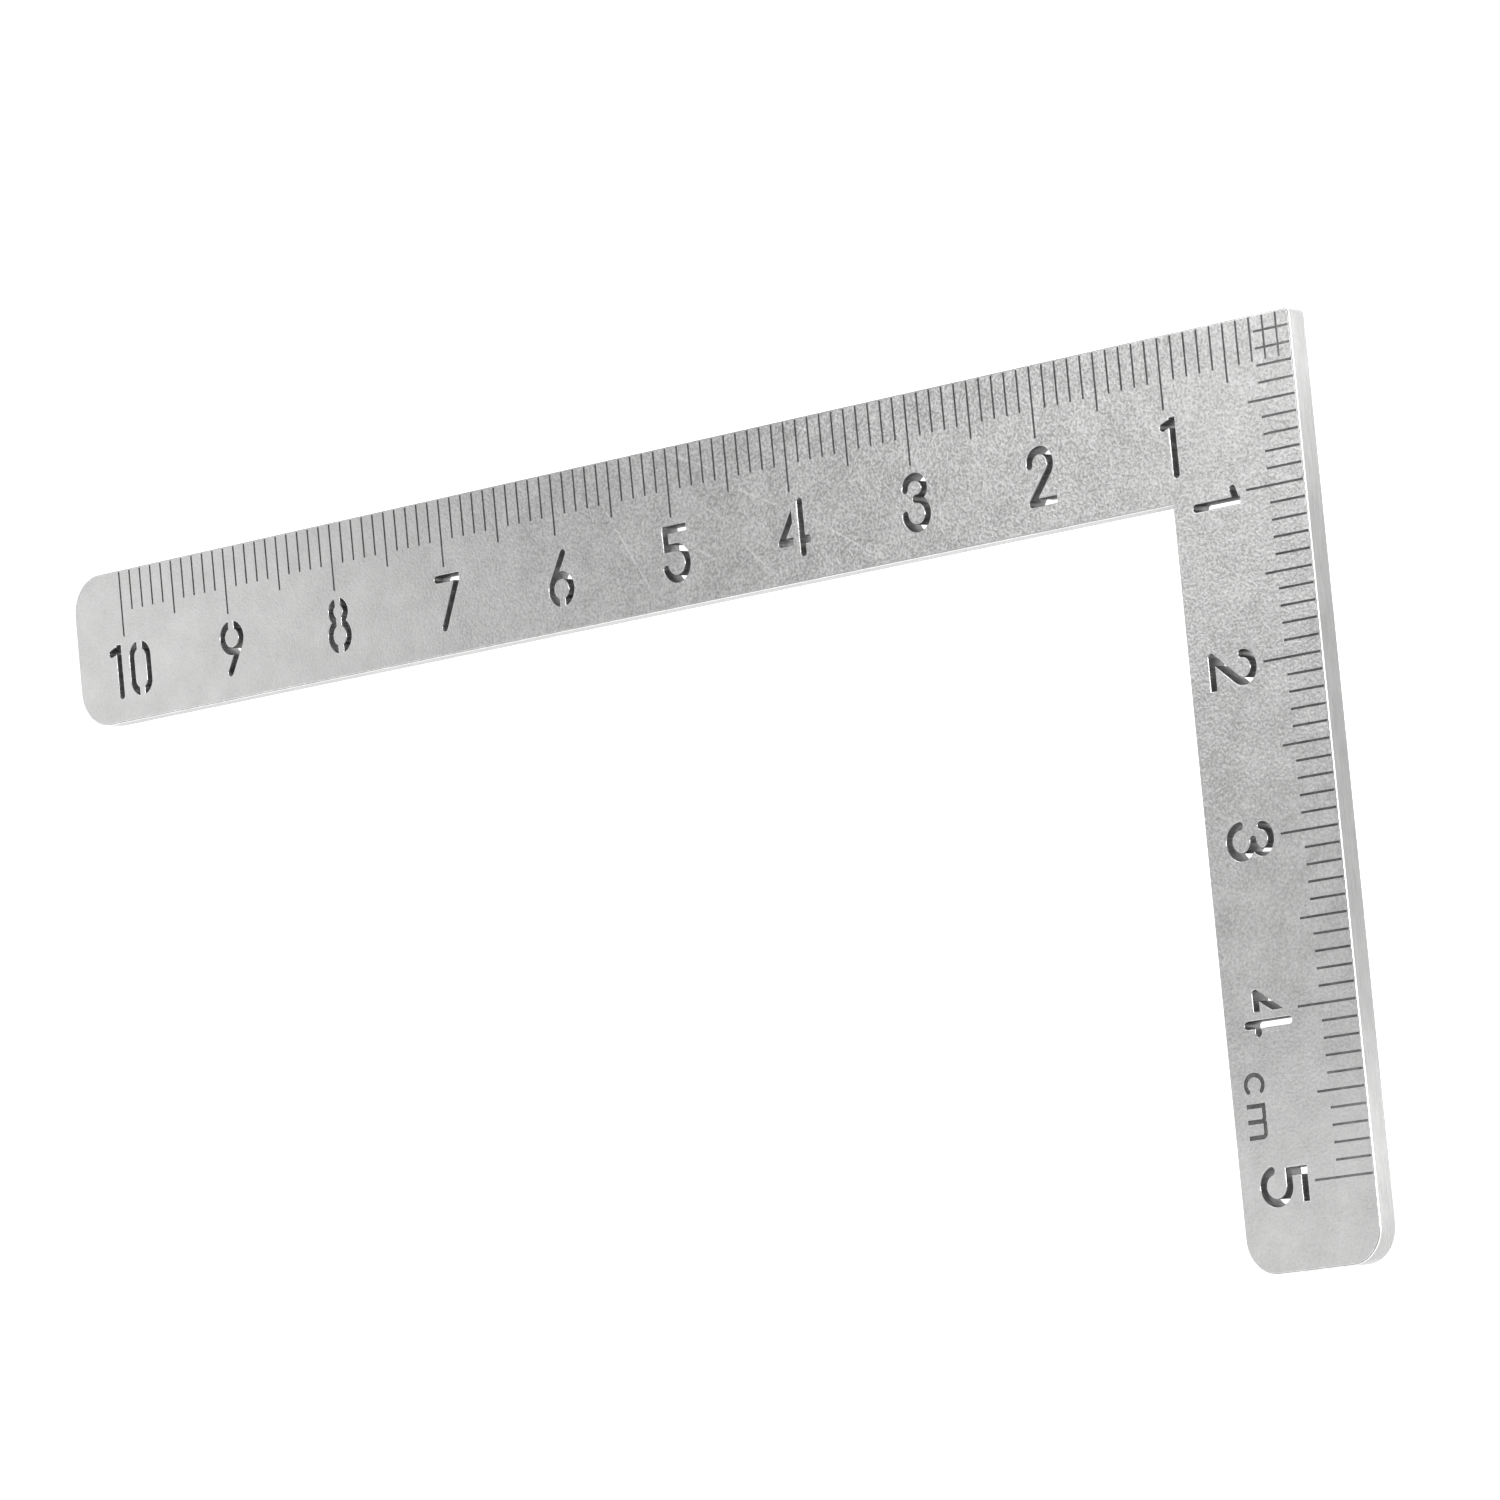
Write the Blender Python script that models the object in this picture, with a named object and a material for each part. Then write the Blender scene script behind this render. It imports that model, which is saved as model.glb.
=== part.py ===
"""Small steel square ruler: an L-shaped plate, 100 mm and 50 mm scales along its two outer edges.

The numerals are stencil cuts right through the plate. The scale marks and the letters "cm" are shallow
pockets filled with dark enamel. Each centimetre and half-centimetre filling is an object of its own.

Frame: the ruler lies flat, scale face up, +Z up. The long arm runs along X and the short arm along Y.
Plate coordinates (px, py) start at the outer zero corner; the object's origin is the centre of the
ruler's outer rectangle, on its underside. Metres throughout.
"""

import math

import bmesh
import bpy
from mathutils import Matrix, Vector

# Plate
LONG_ARM = 0.1046
SHORT_ARM = 0.0551
ARM_WIDTH = 0.0100
THICKNESS = 0.0015
LONG_END_RADIUS = 0.0025
SHORT_END_RADIUS = 0.0022
ZERO_CORNER_RADIUS = 0.0004
EDGE_BREAK = 0.00010

# Scale marks
CENTIMETRE = 0.010
MARK_SPACING = CENTIMETRE / 10
LONG_MARKS = 100
SHORT_MARKS = 50
MARK_WIDTH = 0.00014
MARK_START = 0.00012
MM_MARK_END = 0.00272
HALF_MARK_END = 0.00360
CM_MARK_END = 0.00440
SHORTER_MARK = 60
SHORTER_MARK_END = 0.00395
CROSSING_MARKS = 2

# Pockets and their fillings
POCKET_DEPTH = 0.00010
FILL_DROP = 0.00003
FILL_GAP = 0.000015

# Where the numerals stand
LONG_NUMERAL_FOOT = 0.00844
SHORT_NUMERAL_FOOT = 0.00850
LONG_NUMERAL_SHIFT = 0.00014
SHORT_NUMERAL_SHIFT = -0.00008
TEN_SPACING = 0.00236

# Shapes of the numerals, in millimetres: x runs right from a numeral's middle and y up from its foot,
# and FOOT_Y and HEAD_Y are the middle lines of its lowest and highest strokes
MILLIMETRE = 0.001
STROKE = 0.45
NUMERAL_HEIGHT = 3.55
BRIDGE = 0.50
FOOT_Y = STROKE / 2
HEAD_Y = NUMERAL_HEIGHT - STROKE / 2
BELOW = -1.0
ABOVE = NUMERAL_HEIGHT + 1.0

# Letters
LETTER_STROKE = 0.00026
LETTER_C_HEIGHT = 0.00154
LETTER_C_RADIUS = 0.00058
LETTER_C_FOOT = 0.00897
LETTER_C_PLACE = 0.04411
LETTER_M_HEIGHT = 0.00138
LETTER_M_FOOT = 0.00892
LETTER_M_PLACE = 0.04533
LETTER_M_LEG_SPACING = 0.00091
LETTER_M_ARCH_RADIUS = 0.00026

CUT_MARGIN = 0.0005
ARC_STEP = math.radians(15)
SHARP_ANGLE = math.radians(30)

STEEL = ("satin_steel", (0.56, 0.56, 0.555, 1.0), 0.38, 1.0)
ENAMEL = ("dark_enamel", (0.06, 0.06, 0.06, 1.0), 0.6, 0.0)


def clear_scene():
    """Removes every object that is already in the scene."""
    for obj in list(bpy.data.objects):
        bpy.data.objects.remove(obj, do_unlink=True)


def make_material(name, colour, roughness, metallic):
    """One Principled BSDF material."""
    material = bpy.data.materials.new(name)
    material.use_nodes = True
    shader = material.node_tree.nodes["Principled BSDF"]
    shader.inputs["Base Color"].default_value = colour
    shader.inputs["Roughness"].default_value = roughness
    shader.inputs["Metallic"].default_value = metallic
    return material


def arc(centre, radius_x, radius_y, start, end):
    """Points from angle start to angle end, in degrees, on an ellipse about centre."""
    steps = max(2, math.ceil(abs(math.radians(end - start)) / ARC_STEP))
    points = []
    for i in range(steps + 1):
        angle = math.radians(start + (end - start) * i / steps)
        x = centre[0] + radius_x * math.cos(angle)
        y = centre[1] + radius_y * math.sin(angle)
        points.append(Vector((x, y)))
    return points


def left_normals(points, closed):
    """A vector to the left of the path at each point, as long as it takes to keep the stroke's width."""
    count = len(points)
    normals = []
    for i in range(count):
        before = points[i - 1] if closed or i > 0 else None
        after = points[(i + 1) % count] if closed or i < count - 1 else None
        sides = []
        if before is not None:
            sides.append((points[i] - before).normalized())
        if after is not None:
            sides.append((after - points[i]).normalized())
        tangent = sum(sides, Vector((0, 0))).normalized()
        normal = Vector((-tangent.y, tangent.x))
        normals.append(normal / max(0.5, tangent.dot(sides[0])))
    return normals


def stroke_outline(points, width, start, end):
    """The outline of a pen stroke along a path; its ends are round, flat, or square: half a width on."""
    half = width / 2
    points = [Vector(p) for p in points]
    first_way = (points[0] - points[1]).normalized()
    last_way = (points[-1] - points[-2]).normalized()
    if start == "square":
        points[0] = points[0] + first_way * half
    if end == "square":
        points[-1] = points[-1] + last_way * half
    normals = left_normals(points, closed=False)
    right = [p - n * half for p, n in zip(points, normals)]
    left = [p + n * half for p, n in zip(points, normals)]
    outline = list(right)
    if end == "round":
        turn = math.degrees(math.atan2(last_way.y, last_way.x))
        outline += arc(points[-1], half, half, turn - 90, turn + 90)[1:-1]
    outline += reversed(left)
    if start == "round":
        turn = math.degrees(math.atan2(first_way.y, first_way.x))
        outline += arc(points[0], half, half, turn - 90, turn + 90)[1:-1]
    return outline


def add_prism(bm, outline, low, high):
    """Adds a closed prism over an anticlockwise outline to a bmesh."""
    bottom = [bm.verts.new((p[0], p[1], low)) for p in outline]
    top = [bm.verts.new((p[0], p[1], high)) for p in outline]
    count = len(outline)
    bm.faces.new(list(reversed(bottom)))
    bm.faces.new(top)
    for i in range(count):
        j = (i + 1) % count
        bm.faces.new((bottom[i], bottom[j], top[j], top[i]))


def add_ring(bm, path, width, low, high):
    """Adds a closed band of constant width along a closed anticlockwise path to a bmesh."""
    half = width / 2
    normals = left_normals(path, closed=True)
    loops = []
    for side, level in ((-1, low), (-1, high), (1, high), (1, low)):
        loops.append([bm.verts.new((*(p + n * half * side), level)) for p, n in zip(path, normals)])
    count = len(path)
    for k, loop in enumerate(loops):
        after = loops[(k + 1) % len(loops)]
        for i in range(count):
            j = (i + 1) % count
            bm.faces.new((loop[i], loop[j], after[j], after[i]))


def mesh_from(name, build, *arguments):
    """A new mesh that the function build fills in through a bmesh."""
    bm = bmesh.new()
    build(bm, *arguments)
    mesh = bpy.data.meshes.new(name)
    bm.to_mesh(mesh)
    bm.free()
    return mesh


def add_helper(name, mesh, collection):
    """A cutter or guide, which is no piece of the ruler."""
    obj = bpy.data.objects.new(name, mesh)
    obj.hide_render = True
    obj.display_type = "WIRE"
    collection.objects.link(obj)
    return obj


def add_boolean(obj, operation, collection):
    """A Boolean of the object with every object of a collection."""
    modifier = obj.modifiers.new(operation.title(), "BOOLEAN")
    modifier.operation = operation
    modifier.solver = "EXACT"
    modifier.operand_type = "COLLECTION"
    modifier.collection = collection
    return modifier


def combine(name, shapes, gaps=()):
    """One mesh: the union of the shapes, less the gaps. The helpers that make it are removed again."""
    body = add_helper(name, shapes[0], bpy.context.scene.collection)
    helpers = [body]
    groups = []
    for operation, meshes in (("UNION", shapes[1:]), ("DIFFERENCE", gaps)):
        if meshes:
            group = bpy.data.collections.new(f"{name}_{operation.lower()}")
            bpy.context.scene.collection.children.link(group)
            groups.append(group)
            helpers += [add_helper(f"{name}_{i}", mesh, group) for i, mesh in enumerate(meshes)]
            add_boolean(body, operation, group)
    bpy.context.view_layer.update()
    graph = bpy.context.evaluated_depsgraph_get()
    mesh = bpy.data.meshes.new_from_object(body.evaluated_get(graph), depsgraph=graph)
    mesh.name = name
    for helper in helpers:
        bpy.data.objects.remove(helper, do_unlink=True)
    for group in groups:
        bpy.data.collections.remove(group)
    return mesh


def stroke_one():
    """A stem with a flag at its head."""
    stem, flag_tip, flag_root = 0.38, (-0.32, 3.06), (0.30, 3.25)
    return [
        ("path", [(stem, FOOT_Y), (stem, HEAD_Y + STROKE / 2)], "round", "flat"),
        ("path", [flag_tip, flag_root], "round", "flat"),
    ]


def stroke_two():
    """A hook, a slanting straight that leaves it without a corner, and a foot."""
    centre_y, radius, last_angle = 2.505, 0.81, -40
    turn = math.radians(last_angle)
    way = Vector((math.sin(turn), -math.cos(turn)))
    leaving = Vector((radius * math.cos(turn), centre_y + radius * math.sin(turn)))
    corner = leaving + way * ((FOOT_Y - leaving.y) / way.y)
    foot_end = (1.10, FOOT_Y)
    return [
        ("path", [*arc((0, centre_y), radius, radius, 180, last_angle), corner], "round", "round"),
        ("path", [corner, foot_end], "round", "flat"),
    ]


def stroke_three():
    """Two bowls, the lower one wider."""
    waist, upper_radius, lower_radius = 1.995, 0.77, 0.90
    upper = arc((0, (HEAD_Y + waist) / 2), upper_radius, (HEAD_Y - waist) / 2, 180, -90)
    lower = arc((0, (waist + FOOT_Y) / 2), lower_radius, (waist - FOOT_Y) / 2, 90, -180)
    return [("path", upper, "round", "round"), ("path", lower, "round", "round")]


def stroke_four():
    """A tall stem with a short stub, and a wedge that a bridge keeps apart from the stem."""
    stem, stub_end, bar_y = 0.60, 1.08, 1.005
    tip = (-1.17, bar_y)
    wedge_x, wedge_top = 0.08, 2.885
    bridge_left, bridge_right = -0.14, 0.375
    return [
        ("path", [(stem, FOOT_Y), (stem, HEAD_Y)], "round", "round"),
        ("path", [(stem, bar_y), (stub_end, bar_y)], "flat", "round"),
        ("path", [tip, (wedge_x, wedge_top)], "round", "flat"),
        ("path", [tip, (wedge_x, bar_y)], "round", "flat"),
        ("gap", (bridge_left, BELOW), (bridge_right, ABOVE)),
    ]


def stroke_five():
    """A bar, a short stem and a bowl."""
    left, bar_end, waist, bowl_radius = -0.77, 0.80, 2.185, 0.95
    bowl = arc((0, (waist + FOOT_Y) / 2), bowl_radius, (waist - FOOT_Y) / 2, 90, -163)
    return [
        ("path", [(left, HEAD_Y), (bar_end, HEAD_Y)], "square", "square"),
        ("path", [(left, waist), (left, HEAD_Y)], "square", "flat"),
        ("path", [(left, waist), *bowl], "flat", "round"),
    ]


def stroke_six():
    """A round bowl and a straight that touches it on the left, with a bridge at the foot."""
    radius = 0.87
    centre_y = FOOT_Y + radius
    lean = math.radians(148.6)
    touch = Vector((radius * math.cos(lean), centre_y + radius * math.sin(lean)))
    way = Vector((math.sin(lean), -math.cos(lean)))
    tip = touch + way * ((HEAD_Y - touch.y) / way.y)
    return [
        ("ring", arc((0, centre_y), radius, radius, 0, 345)),
        ("path", [touch, tip], "flat", "round"),
        ("gap", (-BRIDGE / 2, BELOW), (BRIDGE / 2, centre_y)),
    ]


def stroke_seven():
    """A bar and a leg from its right end."""
    left, right, foot_x, leg_top = -0.865, 0.90, -0.49, 3.15
    return [
        ("path", [(left, HEAD_Y), (right, HEAD_Y)], "round", "square"),
        ("path", [(foot_x, FOOT_Y), (right, leg_top)], "round", "round"),
    ]


def stroke_eight():
    """Two rings, the lower one wider, with one bridge down the middle."""
    waist, upper_radius, lower_radius = 2.015, 0.66, 0.83
    return [
        ("ring", arc((0, (HEAD_Y + waist) / 2), upper_radius, (HEAD_Y - waist) / 2, 0, 345)),
        ("ring", arc((0, (waist + FOOT_Y) / 2), lower_radius, (waist - FOOT_Y) / 2, 0, 345)),
        ("gap", (-BRIDGE / 2, BELOW), (BRIDGE / 2, ABOVE)),
    ]


def stroke_nine():
    """A six turned by half a turn."""
    return [turned(item, NUMERAL_HEIGHT) for item in stroke_six()]


def stroke_zero():
    """Two round ends and two straight sides, with one bridge down the middle."""
    radius = 0.78
    ends = [
        *arc((0, HEAD_Y - radius), radius, radius, 0, 180),
        *arc((0, FOOT_Y + radius), radius, radius, 180, 360),
    ]
    return [("ring", ends), ("gap", (-BRIDGE / 2, BELOW), (BRIDGE / 2, ABOVE))]


def numeral_strokes():
    """Every numeral as its strokes: ("path", points, start, end), ("ring", points) or ("gap", low, high).

    A gap is the x and y range of a bridge, the steel that holds a closed numeral's inside.
    """
    return {
        "0": stroke_zero(),
        "1": stroke_one(),
        "2": stroke_two(),
        "3": stroke_three(),
        "4": stroke_four(),
        "5": stroke_five(),
        "6": stroke_six(),
        "7": stroke_seven(),
        "8": stroke_eight(),
        "9": stroke_nine(),
    }


def turned(item, height):
    """A numeral's stroke, ring or gap turned half a turn about the middle of the numeral."""
    kind = item[0]
    if kind == "gap":
        (x0, y0), (x1, y1) = item[1:]
        return (kind, (-x1, height - y1), (-x0, height - y0))
    points = [Vector((-p[0], height - p[1])) for p in item[1]]
    return (kind, points, *item[2:])


def numeral_mesh(digit, items):
    """The cutter of one numeral, from below the plate to above it."""
    width = STROKE * MILLIMETRE
    low, high = -CUT_MARGIN, THICKNESS + CUT_MARGIN
    shapes, gaps = [], []
    for kind, *values in items:
        name = f"numeral_{digit}"
        if kind == "path":
            points, start, end = values
            outline = stroke_outline([Vector(p) * MILLIMETRE for p in points], width, start, end)
            shapes.append(mesh_from(name, add_prism, outline, low, high))
        elif kind == "ring":
            path = [Vector(p) * MILLIMETRE for p in values[0]]
            shapes.append(mesh_from(name, add_ring, path, width, low, high))
        else:
            (x0, y0), (x1, y1) = [Vector(p) * MILLIMETRE for p in values]
            outline = [(x0, y0), (x1, y0), (x1, y1), (x0, y1)]
            gaps.append(mesh_from(name, add_prism, outline, low - CUT_MARGIN, high + CUT_MARGIN))
    return combine(f"numeral_{digit}", shapes, gaps)


def plate_outline(inset):
    """The L, anticlockwise from the long arm's free end, every side moved inwards by inset."""
    corners = [
        ((-LONG_ARM, -ARM_WIDTH), LONG_END_RADIUS, 180),
        ((-ARM_WIDTH, -ARM_WIDTH), 0, None),
        ((-ARM_WIDTH, -SHORT_ARM), SHORT_END_RADIUS, 180),
        ((0, -SHORT_ARM), SHORT_END_RADIUS, 270),
        ((0, 0), ZERO_CORNER_RADIUS, 0),
        ((-LONG_ARM, 0), LONG_END_RADIUS, 90),
    ]
    outline = []
    for (x, y), radius, start in corners:
        if start is None:
            outline.append(Vector((x + inset, y + inset)))
            continue
        across = math.radians(start + 45)
        reach = radius * math.sqrt(2)
        centre = (x - reach * math.cos(across), y - reach * math.sin(across))
        outline += arc(centre, radius - inset, radius - inset, start, start + 90)
    return outline


def fill_plate(bm):
    """The blank plate, a prism with a broken edge all round both faces."""
    levels = ((EDGE_BREAK, 0), (0, EDGE_BREAK), (0, THICKNESS - EDGE_BREAK), (EDGE_BREAK, THICKNESS))
    loops = [[bm.verts.new((p.x, p.y, level)) for p in plate_outline(inset)] for inset, level in levels]
    count = len(loops[0])
    bm.faces.new(list(reversed(loops[0])))
    bm.faces.new(loops[-1])
    for lower, upper in zip(loops, loops[1:]):
        for i in range(count):
            j = (i + 1) % count
            bm.faces.new((lower[i], lower[j], upper[j], upper[i]))


def mark_end(number, is_long):
    """How far from the outer edge the mark at this millimetre reaches."""
    if is_long and number == SHORTER_MARK:
        return SHORTER_MARK_END
    if number % 10 == 0:
        return CM_MARK_END
    return HALF_MARK_END if number % 5 == 0 else MM_MARK_END


def mark_outline(number, is_long, shrink=0.0):
    """The rectangle of one mark in plate coordinates, every side moved inwards by shrink."""
    half = MARK_WIDTH / 2 - shrink
    start, end = MARK_START + shrink, mark_end(number, is_long) - shrink
    along = -number * MARK_SPACING
    if is_long:
        (x0, x1), (y0, y1) = (along - half, along + half), (-end, -start)
    else:
        (x0, x1), (y0, y1) = (-end, -start), (along - half, along + half)
    return [(x0, y0), (x1, y0), (x1, y1), (x0, y1)]


def fill_marks(bm, is_long, count):
    """The cutters of every mark of one arm."""
    for number in range(1, count + 1):
        add_prism(bm, mark_outline(number, is_long), THICKNESS - POCKET_DEPTH, THICKNESS + CUT_MARGIN)


def letter_outlines(shrink=0.0):
    """The strokes of c and m, upright, each from the middle of its foot line: {letter: outlines}."""
    width = LETTER_STROKE - 2 * shrink
    half = LETTER_STROKE / 2
    middle = LETTER_C_HEIGHT / 2
    letter_c = [arc((0, middle), LETTER_C_RADIUS, middle - half, 50, 310)]
    top = LETTER_M_HEIGHT - half
    radius = LETTER_M_ARCH_RADIUS
    letter_m = [[(0, shrink), (0, LETTER_M_HEIGHT - shrink)]]
    for leg in (1, 2):
        x = leg * LETTER_M_LEG_SPACING
        bend = arc((x - radius, top - radius), radius, radius, 0, 90)
        letter_m.append([(x, shrink), *bend, (x - LETTER_M_LEG_SPACING, top)])
    return {
        "c": [stroke_outline(path, width, "round", "round") for path in letter_c],
        "m": [stroke_outline(path, width, "flat", "flat") for path in letter_m],
    }


def letter_mesh(letter, low, high, shrink=0.0):
    """A letter as one solid from low to high."""
    name = f"letter_{letter}"
    outlines = letter_outlines(shrink)[letter]
    return combine(name, [mesh_from(name, add_prism, outline, low, high) for outline in outlines])


def on_long_arm(along, foot):
    """The place of something upright on the long arm: along it from zero, its foot so far from the edge."""
    return plate_origin() @ Matrix.Translation((-along, -foot, 0))


def on_short_arm(along, foot):
    """The same on the short arm, where the tops of the numerals point to the outer edge."""
    return plate_origin() @ Matrix.Translation((-foot, -along, 0)) @ Matrix.Rotation(-math.pi / 2, 4, "Z")


def letter_places():
    """Where the letters "cm" stand on the short arm."""
    return {
        "c": on_short_arm(LETTER_C_PLACE, LETTER_C_FOOT),
        "m": on_short_arm(LETTER_M_PLACE, LETTER_M_FOOT),
    }


def plate_origin():
    """The zero corner, seen from the object's origin."""
    return Matrix.Translation((LONG_ARM / 2, SHORT_ARM / 2, 0))


def add_numeral_cutters(collection):
    """Cutters of all the numerals, 1 to 10 on the long arm and 1 to 5 on the short arm."""
    meshes = {digit: numeral_mesh(digit, items) for digit, items in numeral_strokes().items()}
    for number in range(1, 10):
        cutter = add_helper(f"long_numeral_{number}", meshes[str(number)], collection)
        cutter.matrix_world = on_long_arm(number * CENTIMETRE - LONG_NUMERAL_SHIFT, LONG_NUMERAL_FOOT)
    for digit, side in (("1", 1), ("0", -1)):
        cutter = add_helper(f"long_numeral_10_{digit}", meshes[digit], collection)
        along = 10 * CENTIMETRE - LONG_NUMERAL_SHIFT + side * TEN_SPACING / 2
        cutter.matrix_world = on_long_arm(along, LONG_NUMERAL_FOOT)
    for number in range(1, 6):
        cutter = add_helper(f"short_numeral_{number}", meshes[str(number)], collection)
        along = number * CENTIMETRE - SHORT_NUMERAL_SHIFT
        cutter.matrix_world = on_short_arm(along, SHORT_NUMERAL_FOOT)


def add_mark_cutters(collection):
    """Cutters of both scales and of the letters."""
    for name, is_long, count in (("long_marks", True, LONG_MARKS), ("short_marks", False, SHORT_MARKS)):
        cutter = add_helper(name, mesh_from(name, fill_marks, is_long, count), collection)
        cutter.matrix_world = plate_origin()
    for letter, place in letter_places().items():
        mesh = letter_mesh(letter, THICKNESS - POCKET_DEPTH, THICKNESS + CUT_MARGIN)
        cutter = add_helper(f"letter_{letter}_pocket", mesh, collection)
        cutter.matrix_world = place


def add_piece(name, mesh, material, place):
    """One physical piece of the ruler."""
    mesh.shade_smooth()
    mesh.set_sharp_from_angle(angle=SHARP_ANGLE)
    obj = bpy.data.objects.new(name, mesh)
    obj.data.materials.append(material)
    obj.matrix_world = place
    bpy.context.scene.collection.objects.link(obj)
    return obj


def build_plate(material):
    """The steel plate with its numerals and pockets cut."""
    plate = add_piece("steel_plate", mesh_from("steel_plate", fill_plate), material, plate_origin())
    cutters = bpy.data.collections.new("cutters")
    bpy.context.scene.collection.children.link(cutters)
    add_numeral_cutters(cutters)
    add_mark_cutters(cutters)
    add_boolean(plate, "DIFFERENCE", cutters)
    return plate


def build_fillings(material):
    """The enamel of the longer marks, of the marks that cross at the zero corner, and of the letters."""
    low, high = THICKNESS - POCKET_DEPTH + FILL_GAP, THICKNESS - FILL_DROP
    for arm, is_long, count in (("long", True, LONG_MARKS), ("short", False, SHORT_MARKS)):
        for number in range(5, count + 1, 5):
            name = f"{arm}_arm_mark_{number:03d}mm"
            mesh = mesh_from(name, add_prism, mark_outline(number, is_long, FILL_GAP), low, high)
            add_piece(name, mesh, material, plate_origin())
    name = "zero_corner_marks"
    crossing = [
        mesh_from(name, add_prism, mark_outline(number, is_long, FILL_GAP), low, high)
        for is_long in (True, False)
        for number in range(1, CROSSING_MARKS + 1)
    ]
    add_piece(name, combine(name, crossing), material, plate_origin())
    for letter, place in letter_places().items():
        mesh = letter_mesh(letter, low, high, FILL_GAP)
        add_piece(f"letter_{letter}", mesh, material, place)


def main():
    clear_scene()
    build_plate(make_material(*STEEL))
    build_fillings(make_material(*ENAMEL))
    bpy.context.view_layer.update()


main()
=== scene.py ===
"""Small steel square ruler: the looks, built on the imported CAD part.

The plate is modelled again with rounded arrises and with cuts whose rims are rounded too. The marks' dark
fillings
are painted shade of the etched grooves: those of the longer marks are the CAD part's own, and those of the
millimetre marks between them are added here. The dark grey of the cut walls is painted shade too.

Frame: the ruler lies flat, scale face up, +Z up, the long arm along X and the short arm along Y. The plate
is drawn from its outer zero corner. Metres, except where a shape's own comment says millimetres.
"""

import math

import bmesh
import bpy
import numpy as np
from mathutils import Matrix, Vector
from mathutils.geometry import delaunay_2d_cdt

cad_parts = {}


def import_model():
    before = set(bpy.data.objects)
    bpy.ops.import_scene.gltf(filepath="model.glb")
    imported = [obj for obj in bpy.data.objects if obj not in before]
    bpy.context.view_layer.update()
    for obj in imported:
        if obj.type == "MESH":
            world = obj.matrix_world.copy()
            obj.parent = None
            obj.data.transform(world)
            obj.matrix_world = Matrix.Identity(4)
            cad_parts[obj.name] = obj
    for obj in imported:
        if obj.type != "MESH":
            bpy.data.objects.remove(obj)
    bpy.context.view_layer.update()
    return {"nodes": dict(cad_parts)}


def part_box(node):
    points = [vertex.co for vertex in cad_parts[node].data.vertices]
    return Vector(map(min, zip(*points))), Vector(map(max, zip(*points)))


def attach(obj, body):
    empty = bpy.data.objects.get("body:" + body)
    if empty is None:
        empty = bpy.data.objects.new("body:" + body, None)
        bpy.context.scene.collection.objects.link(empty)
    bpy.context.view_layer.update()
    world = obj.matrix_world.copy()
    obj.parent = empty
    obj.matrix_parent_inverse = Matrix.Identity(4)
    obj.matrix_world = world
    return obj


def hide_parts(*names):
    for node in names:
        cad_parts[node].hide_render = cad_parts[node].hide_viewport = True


# Plate. Its outside lengths and its thickness come from the frame.
ARM_WIDTH = 0.0100
LONG_END_RADIUS = 0.0025
SHORT_END_RADIUS = 0.0022
ZERO_CORNER_RADIUS = 0.0004
ARRIS_RADIUS = 0.00010
ARRIS_STEPS = 8

# Scale marks
CENTIMETRE = 0.010
MARKS_PER_CM = 10
MARKS_PER_HALF_CM = 5
MARK_SPACING = CENTIMETRE / MARKS_PER_CM
LONG_MARKS = 100
SHORT_MARKS = 50
MARK_WIDTH = 0.00014
MARK_START = 0.00012
MM_MARK_END = 0.00272
HALF_MARK_END = 0.00360
CM_MARK_END = 0.00440
SHORTER_MARK = 60
SHORTER_MARK_END = 0.00395
CROSSING_MARKS = 2
POCKET_DEPTH = 0.00010
FILL_DROP = 0.00003
FILL_GAP = 0.000015

# Where the numerals stand
LONG_NUMERAL_FOOT = 0.00844
SHORT_NUMERAL_FOOT = 0.00850
LONG_NUMERAL_SHIFT = 0.00014
SHORT_NUMERAL_SHIFT = -0.00008
TEN_SPACING = 0.00236

# Shapes of the numerals, in millimetres: x runs right from a numeral's middle and y up from its foot,
# and FOOT_Y and HEAD_Y are the middle lines of its lowest and highest strokes
MILLIMETRE = 0.001
STROKE = 0.45
NUMERAL_HEIGHT = 3.55
BRIDGE = 0.50
FOOT_Y = STROKE / 2
HEAD_Y = NUMERAL_HEIGHT - STROKE / 2
BELOW = -1.0
ABOVE = NUMERAL_HEIGHT + 1.0

# Letters: their shapes in millimetres, where they stand in metres
LETTER_STROKE = 0.26
LETTER_C_HEIGHT = 1.54
LETTER_C_RADIUS = 0.58
LETTER_M_HEIGHT = 1.38
LETTER_M_LEG_SPACING = 0.91
LETTER_M_ARCH_RADIUS = 0.26
LETTER_C_FOOT = 0.00897
LETTER_C_PLACE = 0.04411
LETTER_M_FOOT = 0.00892
LETTER_M_PLACE = 0.04533

# Rims of the cuts
RIM_RADIUS = 0.00006
RIM_STEPS = 5

# How finely shapes are drawn. A ring ends one step short of its start, and a corner's normal grows to
# 1 / MITRE_LIMIT half widths at most.
ARC_STEP = math.radians(6)
RING_END = 354
MITRE_LIMIT = 0.5
SHORTEST_SIDE_MM = 0.010
MERGE_MM = 0.000001

# Corners near which a growing outline would fold
INWARD_CORNER = math.radians(20)
SHARPEST_CORNER = math.radians(130)
FOLD_MARGIN = 1.2

# Shading of the plate: what counts as a sharp edge, as being at a flat face, and as facing up or down
SHARP_ANGLE = math.radians(40)
AT_FACE = 0.999
LEAST_NORMAL_Z = 0.1

# Material indices of the plate
FACE, EDGE, CUT, RIM = 0, 1, 2, 3

# Materials: the usual range of a noise, how blue a steel grey is beside its red and green, and the sockets
# of a Mix node that mixes colours
NOISE_LOW, NOISE_HIGH = 0.3, 0.7
GREY_BLUE = 0.995
MIX_A, MIX_B, MIX_RESULT = 6, 7, 2

# Grain of the faces, coarsest about one place and worn smoother away from it
GRAIN_SCALE = 5500
GRAIN_DEPTH = 0.00008
COARSEST_PLACE = (0.025, 0.0225)
COARSE_REACH = 0.060

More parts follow.
